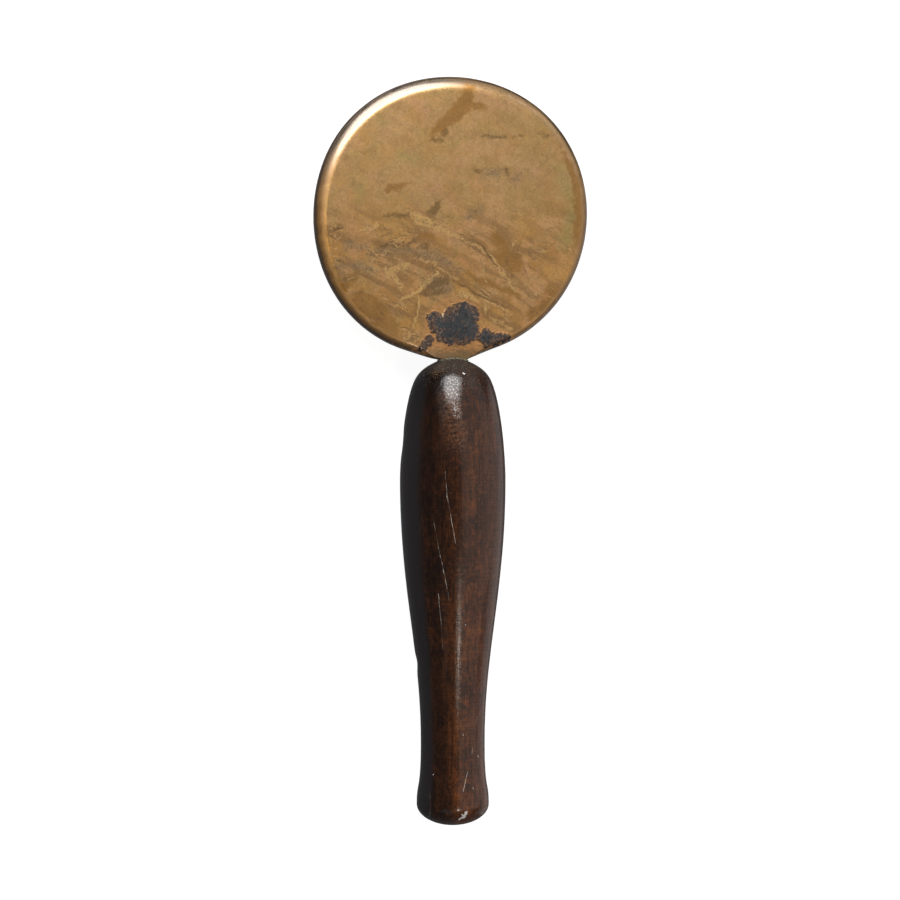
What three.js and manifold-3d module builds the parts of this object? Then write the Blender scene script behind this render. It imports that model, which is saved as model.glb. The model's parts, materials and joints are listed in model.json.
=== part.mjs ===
// A bronze hand mirror, in millimetres, +Z up, lying on its back as it rests on a table.
// It is two pieces: a thick cast plate whose neck runs on as a tang, and a turned hardwood handle
// with a socket for that tang.
// Both are built straight: the handle's axis along Y, the polished face towards +Z, and the zero of Y
// where the axis leaves the handle's crown. The last step lays the pair down on the plate's far edge
// and the handle's belly.
import * as THREE from "three";
import { mergeVertices } from "three/addons/utils/BufferGeometryUtils.js";
import Module from "manifold-3d";

const degrees = THREE.MathUtils.degToRad;

// The plate: a disc drawn out to the neck by two straight shoulders.
const PLATE_RADIUS = 51.2;
const PLATE_THICKNESS = 7;
const PLATE_CENTRE = 51.8; // from the handle's crown to the middle of the disc
const PLATE_SHIFT = -0.3; // how far that middle stands to the side of the handle's axis
const SHOULDER_ANGLE = degrees(19.5); // between a shoulder and the line across the neck
const PLATE_SIDES = 96;

// Hammering and filing left the rim a little out of round. Angles here start at the neck.
const OUT_OF_ROUND = [
  { lobes: 2, by: 0.75, toward: degrees(-45) },
  { lobes: 3, by: 0.27, toward: degrees(-16) },
  { lobes: 4, by: 0.25, toward: degrees(45) },
];

// The rim's section: a broad roll down from the polished face, a short wall and a tighter roll to the back.
const FACE_ROLL = { inset: 4.2, drop: 3.6 };
const BACK_ROLL = { inset: 1.2, drop: 1.1 };
const FACE_ROLL_UNEVEN = 0.35; // the share by which the broad roll widens at the far edge
const ROLL_STEPS = 6;

// The neck and the tang, one bar with the plate.
const NECK_WIDTH = 9.5;
const NECK_THICKNESS = 5.2;
const NECK_FLARE = 4.2; // how far up each shoulder the neck's fillet starts
const TANG_LENGTH = 36;
const TANG_TIP_WIDTH = 5;
const TANG_EDGE = 0.7;
const TANG_ROOT = 14; // how far the bar runs up into the plate
const FIT_GAP = 0.3; // between the tang and its socket, and between the plate and the crown

// The handle, by the distance down its axis from the crown and by its radius there.
const HANDLE_LENGTH = 170;
const CROWN_PULL = 4; // how broad the crown is before it turns down
const SHOULDER = { at: 7, radius: 13.4, slope: degrees(31), before: 5.3, after: 8.5 };
const BELLY = { at: 44, radius: 19.3, before: 7, after: 41 };
const WAIST = { at: 140, radius: 11.7, before: 34.5, after: 18 };
const FOOT = { at: 162.3, radius: 13.2, before: 8.3 };
const HANDLE_SIDES = 64;
const CURVE_STEPS = 8;

const STEEPEST_REST = degrees(15);
const HALVINGS = 40;

const wasm = await Module();
wasm.setup();

/** A closed three.js geometry as a solid that can be joined or cut. */
function solidOf(geometry) {
  const bare = geometry.clone();
  bare.deleteAttribute("normal");
  bare.deleteAttribute("uv");
  const merged = mergeVertices(bare, 1e-4);
  return new wasm.Manifold(
    new wasm.Mesh({
      numProp: 3,
      vertProperties: merged.attributes.position.array,
      triVerts: new Uint32Array(merged.index.array),
    }),
  );
}

/** A solid back as a three.js geometry. */
function geometryOf(solid) {
  const { vertProperties, triVerts } = solid.getMesh();
  const geometry = new THREE.BufferGeometry();
  geometry.setAttribute("position", new THREE.BufferAttribute(vertProperties, 3));
  geometry.setIndex(new THREE.BufferAttribute(triVerts, 1));
  geometry.computeVertexNormals();
  return geometry;
}

/** A quarter of an ellipse from the plate's wall to one of its faces, as [radius, height] points. */
function edgeRoll(roll, faceHeight) {
  const rise = Math.sign(faceHeight) * roll.drop;
  return Array.from({ length: ROLL_STEPS + 1 }, (_, i) => {
    const turn = (Math.PI / 2) * (i / ROLL_STEPS);
    const radius = PLATE_RADIUS - roll.inset * (1 - Math.cos(turn));
    return new THREE.Vector2(radius, faceHeight - rise * (1 - Math.sin(turn)));
  });
}

/** The section of the plate from the middle of its back, round the rim, to the middle of its face. */
function plateSection() {
  const half = PLATE_THICKNESS / 2;
  return [
    new THREE.Vector2(0, -half),
    ...edgeRoll(BACK_ROLL, -half).reverse(),
    ...edgeRoll(FACE_ROLL, half),
    new THREE.Vector2(0, half),
  ];
}

/** The rim's distance from the plate's middle, by the angle from the direction of the neck. */
function rimRadius(angle) {
  const round = OUT_OF_ROUND.reduce(
    (radius, { lobes, by, toward }) => radius + by * Math.cos(lobes * (angle - toward)),
    PLATE_RADIUS,
  );
  const off = Math.abs(angle);
  if (off >= SHOULDER_ANGLE) return round;
  const shoulder = round / Math.cos(SHOULDER_ANGLE - off);
  return Math.min(shoulder, (PLATE_CENTRE - FIT_GAP) / Math.cos(off));
}

/** The plate: its section turned about the middle, then drawn out to the rim's true outline. */
function plateGeometry() {
  const geometry = new THREE.LatheGeometry(plateSection(), PLATE_SIDES);
  geometry.rotateX(Math.PI / 2);
  const position = geometry.getAttribute("position");
  for (let i = 0; i < position.count; i += 1) {
    const [x, y, z] = [position.getX(i), position.getY(i), position.getZ(i)];
    const radius = Math.hypot(x, y);
    if (radius < 1e-6) continue;
    const angle = Math.atan2(x, -y);
    const widening = z > 0 ? 1 - FACE_ROLL_UNEVEN * Math.cos(angle) : 1;
    const drawn = rimRadius(angle) - (PLATE_RADIUS - radius) * widening;
    position.setXY(i, (x * drawn) / radius, (y * drawn) / radius);
  }
  return geometry.translate(PLATE_SHIFT, PLATE_CENTRE, 0);
}

/** The neck and tang, grown by a gap on every side: the gap is 0 for the bar itself. */
function tangGeometry(gap) {
  const neck = NECK_WIDTH / 2 + gap;
  const tip = TANG_TIP_WIDTH / 2 + gap;
  const end = -TANG_LENGTH - gap;
  const flareTop = FIT_GAP + NECK_FLARE * Math.tan(SHOULDER_ANGLE);
  const plan = new THREE.Shape();
  plan.moveTo(tip, end);
  plan.lineTo(neck, -FIT_GAP);
  plan.quadraticCurveTo(neck, FIT_GAP, neck + NECK_FLARE, flareTop);
  plan.lineTo(neck, TANG_ROOT);
  plan.lineTo(-neck, TANG_ROOT);
  plan.lineTo(-neck - NECK_FLARE, flareTop);
  plan.quadraticCurveTo(-neck, FIT_GAP, -neck, -FIT_GAP);
  plan.lineTo(-tip, end);
  plan.closePath();
  const thickness = NECK_THICKNESS + 2 * gap;
  const bar = new THREE.ExtrudeGeometry(plan, {
    depth: thickness - 2 * TANG_EDGE,
    bevelThickness: TANG_EDGE,
    bevelSize: TANG_EDGE,
    bevelOffset: -TANG_EDGE,
    bevelSegments: 2,
    curveSegments: 4,
  });
  return bar.translate(0, 0, TANG_EDGE - thickness / 2);
}

/** The handle's outline from the crown to the middle of its foot, as [radius, -distance] points. */
function handleProfile() {
  const path = new THREE.Path();
  const rise = new THREE.Vector2(Math.sin(SHOULDER.slope), -Math.cos(SHOULDER.slope));
  const shoulder = new THREE.Vector2(SHOULDER.radius, -SHOULDER.at);
  const before = shoulder.clone().addScaledVector(rise, -SHOULDER.before);
  const after = shoulder.clone().addScaledVector(rise, SHOULDER.after);
  const [belly, waist, foot] = [BELLY, WAIST, FOOT].map(
    ({ radius, at }) => new THREE.Vector2(radius, -at),
  );
  path.moveTo(0, 0);
  path.bezierCurveTo(CROWN_PULL, 0, before.x, before.y, shoulder.x, shoulder.y);
  path.bezierCurveTo(after.x, after.y, belly.x, belly.y + BELLY.before, belly.x, belly.y);
  path.bezierCurveTo(belly.x, belly.y - BELLY.after, waist.x, waist.y + WAIST.before, waist.x, waist.y);
  path.bezierCurveTo(waist.x, waist.y - WAIST.after, foot.x, foot.y + FOOT.before, foot.x, foot.y);
  path.absellipse(0, foot.y, foot.x, HANDLE_LENGTH - FOOT.at, 0, -Math.PI / 2, true);
  return path.getPoints(CURVE_STEPS);
}

/** The turned handle with its socket cut in. */
function handleGeometry() {
  const turned = new THREE.LatheGeometry(handleProfile().reverse(), HANDLE_SIDES);
  return geometryOf(solidOf(turned).subtract(solidOf(tangGeometry(FIT_GAP))));
}

/** How deep below the axis a piece reaches once the far end dips by the tilt. */
function depthBelow(geometry, tilt) {
  const down = new THREE.Vector3(0, Math.sin(tilt), -Math.cos(tilt));
  const position = geometry.getAttribute("position");
  const point = new THREE.Vector3();
  let deepest = 0;
  for (let i = 0; i < position.count; i += 1) {
    deepest = Math.max(deepest, point.fromBufferAttribute(position, i).dot(down));
  }
  return deepest;
}

/** The tilt at which the plate's far edge and the handle's belly both touch the table. */
function restingTilt(plate, handle) {
  let [low, high] = [0, STEEPEST_REST];
  for (let step = 0; step < HALVINGS; step += 1) {
    const tilt = (low + high) / 2;
    if (depthBelow(plate, tilt) < depthBelow(handle, tilt)) low = tilt;
    else high = tilt;
  }
  return low;
}

const plate = new THREE.Mesh(
  geometryOf(solidOf(plateGeometry()).add(solidOf(tangGeometry(0)))),
  new THREE.MeshStandardMaterial({ color: 0xa98656, roughness: 0.42, metalness: 1 }),
);
plate.name = "bronze_plate";

const handle = new THREE.Mesh(
  handleGeometry(),
  new THREE.MeshStandardMaterial({ color: 0x3a2219, roughness: 0.3, metalness: 0 }),
);
handle.name = "wooden_handle";

// The straight pair, laid down, with the middle of its footprint at the origin.
const laid = new THREE.Group();
laid.add(plate, handle);
laid.rotation.x = -restingTilt(plate.geometry, handle.geometry);
const box = new THREE.Box3().setFromObject(laid, true);
const middle = box.getCenter(new THREE.Vector3());
laid.position.set(-middle.x, -middle.y, -box.min.z);

const mirror = new THREE.Group();
mirror.add(laid);

export default mirror;
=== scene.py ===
# %% [markdown]
# # An ancient bronze hand mirror
# The mirror is two pieces: a thick cast bronze plate, whose neck runs on as a tang, and a turned
# hardwood handle with a socket for that tang. It lies on its back on a table with its polished face
# up. The frame that is loaded here holds both as plain faceted solids at their real size. This
# lesson makes a fine surface for each, with the relief that wear and corrosion leave, and then
# their finishes.

import itertools
import json
import math

import bpy
import numpy as np
from mathutils import Matrix, Vector


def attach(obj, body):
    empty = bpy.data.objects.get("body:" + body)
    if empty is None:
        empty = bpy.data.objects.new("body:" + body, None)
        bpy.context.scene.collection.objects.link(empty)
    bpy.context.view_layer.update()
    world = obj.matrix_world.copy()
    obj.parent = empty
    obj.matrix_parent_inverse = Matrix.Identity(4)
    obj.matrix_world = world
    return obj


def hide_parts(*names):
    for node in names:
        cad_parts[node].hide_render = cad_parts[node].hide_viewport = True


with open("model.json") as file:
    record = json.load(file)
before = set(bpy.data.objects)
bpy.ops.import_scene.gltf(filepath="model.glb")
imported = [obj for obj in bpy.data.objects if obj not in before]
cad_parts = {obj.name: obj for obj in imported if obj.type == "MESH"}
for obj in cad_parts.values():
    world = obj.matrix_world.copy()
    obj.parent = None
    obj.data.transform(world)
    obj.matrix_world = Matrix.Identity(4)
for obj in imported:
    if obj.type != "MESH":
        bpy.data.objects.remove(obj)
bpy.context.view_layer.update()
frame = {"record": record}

# %% [markdown]
# ## Two frames
# The mirror is easiest to describe straight: x across it, y along the handle's axis towards the
# disc, z out of the polished face, in millimetres, with zero where the axis leaves the handle's
# crown. But it lies a little tilted, because the handle's belly is thicker than the plate. The
# record's mount on the flat back says how: its axis is the back's own outward direction, and its
# place is the middle of the back. So nothing has to be measured twice.

# %% The straight frame and the laid frame
MM = 0.001
PLATE_CENTRE = 51.8
PLATE_SHIFT = -0.3
PLATE_HALF = 3.5

back = next(m for m in frame["record"]["mounts"] if m["name"] == "back_face")
face_out = -np.array(back["axis"]) / np.linalg.norm(back["axis"])
across = np.array([1.0, 0.0, 0.0])
along = np.cross(face_out, across)
straight_axes = np.stack([across, along, face_out])
crown = np.array(back["pos_m"]) - MM * np.array([PLATE_SHIFT, PLATE_CENTRE, -PLATE_HALF]) @ straight_axes
TILT = math.atan2(face_out[1], face_out[2])


def laid(points):
    """Straight millimetres to laid metres: each point is so far across, along and out from the
    crown."""
    return crown + MM * np.asarray(points) @ straight_axes


print(f"The mirror lies {math.degrees(TILT):.2f} degrees off level, its crown {1000 * crown[2]:.1f} mm up")

# %% [markdown]
# ## Tools: random hills
# Wear, corrosion and wood all need randomness that is smooth and repeatable. Gradient noise gives
# it: a lattice of random slopes, blended. Adding finer and fainter copies turns soft hills into
# natural mottling.

# %% Random hills


def smooth_step(value, low=0.0, high=1.0):
    """0 below low, 1 above high, and between them the S-shaped curve 3t^2 - 2t^3."""
    t = np.clip((value - low) / (high - low), 0, 1)
    return t * t * (3 - 2 * t)


def hills(points, size, seed):
    """Smooth hills from about -1 to 1. Each corner of a lattice `size` wide gets a random
    direction, a point measures how far it lies along each of its eight corners' directions, and the
    eight are blended with the weight 6t^5 - 15t^4 + 10t^3."""
    draw = np.random.default_rng(seed)
    slopes = draw.normal(size=(256, 3))
    slopes /= np.linalg.norm(slopes, axis=1, keepdims=True)
    order = draw.permutation(256)
    cell = np.floor(points / size).astype(int)
    inside = points / size - cell
    weight = inside**3 * (inside * (6 * inside - 15) + 10)
    total = np.zeros(len(points))
    for corner in itertools.product((0, 1), repeat=3):
        at = (cell + corner) & 255
        pick = order[(order[(order[at[:, 0]] + at[:, 1]) & 255] + at[:, 2]) & 255]
        share = np.prod(np.where(corner, weight, 1 - weight), axis=1)
        total += share * np.sum(slopes[pick] * (inside - corner), axis=1)
    return 1.6 * total


def mottle(points, size, seed, layers=4):
    """Hills with finer hills on them: each layer has half the size and half the height of the last."""
    return sum(hills(points, size / 2**k, seed + k) / 2**k for k in range(layers))


# %% [markdown]
# ## Tools: a skin over a grid
# Every piece here is a grid of points that closes round on itself, like a sleeve. Rows run along
# the piece, columns run round it, and a single point at each end closes it. Stretching such a
# sleeve over the form keeps the faces small and even, and it can never have a hole.

# %% A skin over a grid


def skin(name, rows, ends, fields=None):
    """A closed mesh from a grid of points. rows has the shape (rows, columns, 3). Each column joins
    the next and the last joins the first. With ends, two points close the sleeve with fans; without
    them, the last row joins the first, as on a ring. fields are named values, one for each point,
    kept as attributes."""
    count, width = rows.shape[:2]
    grid = np.arange(count * width).reshape(count, width)
    lower = grid if ends is None else grid[:-1]
    upper = np.roll(grid, -1, axis=0)[: len(lower)]
    quads = np.stack([lower, upper, np.roll(upper, -1, axis=1), np.roll(lower, -1, axis=1)], axis=-1)
    points = rows.reshape(-1, 3)
    faces = quads.reshape(-1, 4).tolist()
    if ends is not None:
        first, last = count * width, count * width + 1
        points = np.vstack([points, ends])
        fan = np.full(width, first)
        faces += np.stack([fan, grid[0], np.roll(grid[0], -1)], axis=-1).tolist()
        faces += np.stack([fan - first + last, np.roll(grid[-1], -1), grid[-1]], axis=-1).tolist()
    mesh = bpy.data.meshes.new(name)
    mesh.from_pydata(laid(points), [], faces)
    mesh.shade_smooth()
    for field, values in (fields or {}).items():
        kept = mesh.attributes.new(field, "FLOAT", "POINT")
        kept.data.foreach_set("value", np.asarray(values, np.float32))
    piece = bpy.data.objects.new(name, mesh)
    bpy.context.scene.collection.objects.link(piece)
    return piece


def outward(rows, ends):
    """The direction out of the skin at each point: the cross product of the steps along and round
    the grid."""
    padded = np.concatenate([np.broadcast_to(ends[0], (1,) + rows.shape[1:]), rows])
    padded = np.concatenate([padded, np.broadcast_to(ends[1], (1,) + rows.shape[1:])])
    step_along = padded[2:] - padded[:-2]
    step_round = np.roll(rows, -1, axis=1) - np.roll(rows, 1, axis=1)
    normal = np.cross(step_along, step_round)
    return normal / np.maximum(np.linalg.norm(normal, axis=-1, keepdims=True), 1e-12)


def measured(piece):
    """The piece's volume in cubic centimetres, from the signed tetrahedra under its faces, and its
    triangles."""
    mesh = piece.data
    mesh.calc_loop_triangles()
    corners = np.empty(3 * len(mesh.loop_triangles), int)
    mesh.loop_triangles.foreach_get("vertices", corners)
    places = np.empty(3 * len(mesh.vertices))
    mesh.vertices.foreach_get("co", places)
    a, b, c = places.reshape(-1, 3)[corners.reshape(-1, 3)].transpose(1, 0, 2)
    volume = np.sum(a * np.cross(b, c)) / 6
    return round(1e6 * volume, 2), len(mesh.loop_triangles)


# %% [markdown]
# ## The plate's outline
# The plate is a disc that two straight shoulders draw out to the neck. Hammering and filing left it
# a little out of round, which three gentle waves round the rim describe. Below the neck the tang
# tapers to its tip. One closed outline carries all of it, so neck and plate stay one casting with a
# true fillet between them.

# %% The plate's outline
PLATE_RADIUS = 51.2
SHOULDER_ANGLE = math.radians(19.5)
OUT_OF_ROUND = [(2, 0.75, -45), (3, 0.27, -16), (4, 0.25, 45)]
NECK_HALF = 4.75
NECK_FLARE = 5.2
NOTCH_LOW, NOTCH_HIGH = -0.6, -0.15
FIT_GAP = 0.3
TANG_LENGTH = 36
TANG_TIP_HALF = 2.5
TANG_CORNER = 1.0
RIM_COLUMNS, FILLET_COLUMNS, SIDE_COLUMNS, TIP_COLUMNS = 604, 9, 15, 5
NEAR_NECK = 0.35


def rim_radius(angle):
    """The rim's distance from the middle: a circle and its waves, or, within the shoulders, the
    straight tangent, whose distance grows as one over the cosine of the angle to the point where it
    touches the circle."""
    round_part = PLATE_RADIUS + sum(
        by * np.cos(lobes * (angle - math.radians(toward))) for lobes, by, toward in OUT_OF_ROUND
    )
    short = np.maximum(SHOULDER_ANGLE - np.abs(np.angle(np.exp(1j * angle))), 0)
    return round_part / np.cos(short)


def rim_point(angle):
    """The rim at an angle counted from the neck towards +x."""
    direction = np.stack([np.sin(angle), -np.cos(angle)], axis=-1)
    return [PLATE_SHIFT, PLATE_CENTRE] + rim_radius(angle)[:, None] * direction


def neck_side(side):
    """The outline from the middle of the tang's tip up one side to the rim: flat tip, round corner,
    tapering side and a fillet, a quadratic Bezier curve from the neck's side to the straight
    shoulder. It gives the points and the rim's angle where they end."""
    angles = side * np.radians(np.linspace(4, 19, 300))
    end_angle = np.interp(NECK_HALF + NECK_FLARE, side * rim_point(angles)[:, 0], angles)
    end, past = rim_point(np.array([end_angle, end_angle + side * 0.01]))
    slope = (past[1] - end[1]) / (past[0] - end[0])
    bend = np.array([end[0] - (end[1] - NOTCH_HIGH) / slope, NOTCH_HIGH])
    start = np.array([side * NECK_HALF, NOTCH_LOW])
    t = np.linspace(0, 1, FILLET_COLUMNS, endpoint=False)[:, None]
    fillet = (1 - t) ** 2 * start + 2 * t * (1 - t) * bend + t**2 * end
    corner_mid = np.array([TANG_TIP_HALF - TANG_CORNER, TANG_CORNER - TANG_LENGTH])
    turn = np.linspace(-math.pi / 2, 0, TIP_COLUMNS)
    corner = corner_mid + TANG_CORNER * np.stack([np.cos(turn), np.sin(turn)], axis=-1)
    corner[:, 0] *= side
    tip = np.stack([np.linspace(0, corner[0, 0], 3), np.full(3, -float(TANG_LENGTH))], axis=-1)[:-1]
    t = np.linspace(0, 1, SIDE_COLUMNS, endpoint=False)[1:, None]
    flank = corner[-1] + t * (start - corner[-1])
    return np.vstack([tip, corner, flank, fillet]), end_angle


right_side, right_angle = neck_side(1)
left_side, left_angle = neck_side(-1)
turn = np.linspace(right_angle, 2 * math.pi + left_angle, RIM_COLUMNS)
swing = np.sin(math.pi * (turn - right_angle) / (2 * math.pi + left_angle - right_angle) * 2)
rim = rim_point(turn - NEAR_NECK * swing)
outline = np.vstack([right_side, rim, left_side[:0:-1]])
heading = np.roll(outline, -1, axis=0) - np.roll(outline, 1, axis=0)
heading /= np.linalg.norm(heading, axis=1, keepdims=True)
outline_out = np.stack([heading[:, 1], -heading[:, 0]], axis=-1)
print(f"The outline has {len(outline)} points and is {np.ptp(outline[:, 0]):.1f} mm wide")

# %% [markdown]
# ## The plate's section
# A rim that has been filed and polished has a broad roll down from the mirror face, a short wall
# and a tight roll to the back. Each roll is a quarter of an ellipse. The face's roll is widest at
# the far edge. Into the neck both rolls shrink and the plate thins to the bar that goes into the
# handle.

# %% The plate's section
NECK_HALF_THICK = 2.6
FACE_ROLL = {"inset": 4.2, "drop": 3.6}
BACK_ROLL = {"inset": 1.2, "drop": 1.1}
FACE_ROLL_UNEVEN = 0.35
TANG_EDGE = 0.7
FACE_ROWS, ROLL_ROWS, WALL_ROWS, BACK_ROLL_ROWS, BACK_ROWS = 104, 14, 5, 6, 14


def half_thickness(points):
    """Half the plate's thickness at a place: thin in the tang and neck, full in the plate, and
    blended over a band that bends round the neck. Its line is a hyperbola, so that it has no crease
    in the middle."""
    past_neck = points[..., 1] + 0.35 * (np.sqrt(points[..., 0] ** 2 + 25) - 5)
    return NECK_HALF_THICK + (PLATE_HALF - NECK_HALF_THICK) * smooth_step(past_neck, -1.5, 12)


def plate_rows():
    """The plate's grid. Face and back rows shrink the outline towards the middle. The rolls go in
    from the outline against its own outward direction, by inset times 1 - cos and drop times 1 -
    sin of the turn."""
    middle = np.array([PLATE_SHIFT, PLATE_CENTRE])
    x, y = outline.T
    plateness = smooth_step(np.abs(x) - NECK_HALF + np.maximum(y - 3, 0), 0, 10)
    angle = np.arctan2(x - PLATE_SHIFT, PLATE_CENTRE - y)
    face_inset = FACE_ROLL["inset"] * (1 - FACE_ROLL_UNEVEN * np.cos(angle))

    def blended(full):
        return (TANG_EDGE + (full - TANG_EDGE) * plateness)[:, None]

    def roll_rows(inset, drop, steps, sign):
        turns = np.linspace(0, math.pi / 2, steps)
        rows = []
        for turn in turns:
            place = outline - outline_out * inset * (1 - math.cos(turn))
            inner = outline - outline_out * inset
            height = sign * (half_thickness(inner)[:, None] - drop * (1 - math.sin(turn)))
            rows.append(np.hstack([place, height]))
        return rows

    def flat_rows(edge, steps, sign):
        shares = np.linspace(0.02, 1, steps + 1)[:-1] ** 0.85
        rows = []
        for share in shares:
            place = middle + share * (edge[:, :2] - middle)
            rows.append(np.hstack([place, sign * half_thickness(place)[:, None]]))
        return rows

    face_roll = roll_rows(blended(face_inset), blended(FACE_ROLL["drop"]), ROLL_ROWS, 1)[::-1]
    back_roll = roll_rows(blended(BACK_ROLL["inset"]), blended(BACK_ROLL["drop"]), BACK_ROLL_ROWS, -1)
    face = flat_rows(face_roll[0], FACE_ROWS, 1)
    under = flat_rows(back_roll[-1], BACK_ROWS, -1)[::-1]
    shares = np.linspace(0, 1, WALL_ROWS + 1)[1:-1]
    wall = [face_roll[-1] + share * (back_roll[0] - face_roll[-1]) for share in shares]
    ends = np.array([[*middle, PLATE_HALF], [*middle, -PLATE_HALF]])
    return np.array(face + face_roll + wall + back_roll + under), ends


plate_grid, plate_ends = plate_rows()
print("The plate's grid has", plate_grid.shape[0], "rows of", plate_grid.shape[1], "points")

# %% [markdown]
# ## Where the plate has changed
# Bronze that has lain in the ground changes in patches: a raised crust where corrosion ate in,
# brown and green films, and pale tide lines where water dried. Their places are strokes of a brush,
# given by a few points with a half width each, in straight millimetres. A stroke is enough, because
# hills push its edge about and fray it.

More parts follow.
